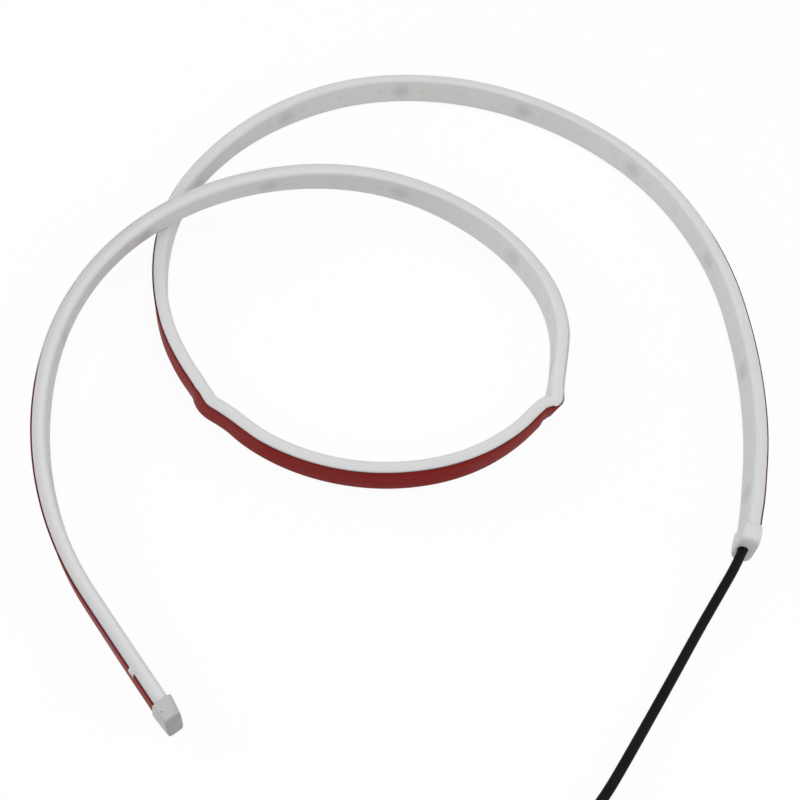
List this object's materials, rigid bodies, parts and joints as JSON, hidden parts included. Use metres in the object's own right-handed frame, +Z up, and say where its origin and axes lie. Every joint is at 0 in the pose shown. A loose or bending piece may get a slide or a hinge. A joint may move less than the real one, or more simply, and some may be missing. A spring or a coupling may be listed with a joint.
{
  "type": "door warning strip light",
  "caption": "Flexible silicone strip light on edge in a loose double loop: light face inwards, red-lined mounting tape outwards, capped ends, black round lead. Warns when a car door is open.",
  "frame": {"origin": "on the table, under the middle of the laid strip's box, without the cable", "axes": "+Z up; the cable end is on the +X side, the closed end at the front left; +Y points to the back of the large loop"},
  "size_m": [0.2526, 0.3261, 0.022],
  "materials": {
    "silicone": "milk-white translucent silicone, matt",
    "circuit": "white solder mask on a thin flexible film",
    "foam_tape": "dark closed-cell foam tape, matt",
    "liner": "dark red release film, satin",
    "light_package": "white moulded light package",
    "phosphor": "yellow phosphor window",
    "resistor": "black chip resistor",
    "cap": "white moulded silicone end cap, matt",
    "sealant": "white silicone sealant, satin",
    "core_red": "red wire insulation",
    "core_black": "black wire insulation",
    "solder": "tinned copper and solder",
    "cable": "black round cable jacket, matt",
    "tie": "black moulded cable tie"
  },
  "bodies": {
    "root": {"silicone_sleeve": "silicone", "flex_circuit": "circuit", "foam_tape": "foam_tape", "release_liner": "liner", "led_chips": "light_package", "led_windows": "phosphor", "resistors": "resistor", "cable_end_cap": "cap", "closed_end_cap": "cap", "cable_end_sealant": "sealant", "closed_end_sealant": "sealant", "sealant_smear": "sealant", "core_red": "core_red", "core_black": "core_black", "solder_joints": "solder", "cord": "cable", "cord_coil": "cable", "cord_end": "cable", "coil_tie": "tie", "tail_red": "core_red", "tail_black": "core_black", "tinned_tips": "solder"}
  },
  "joints": []
}
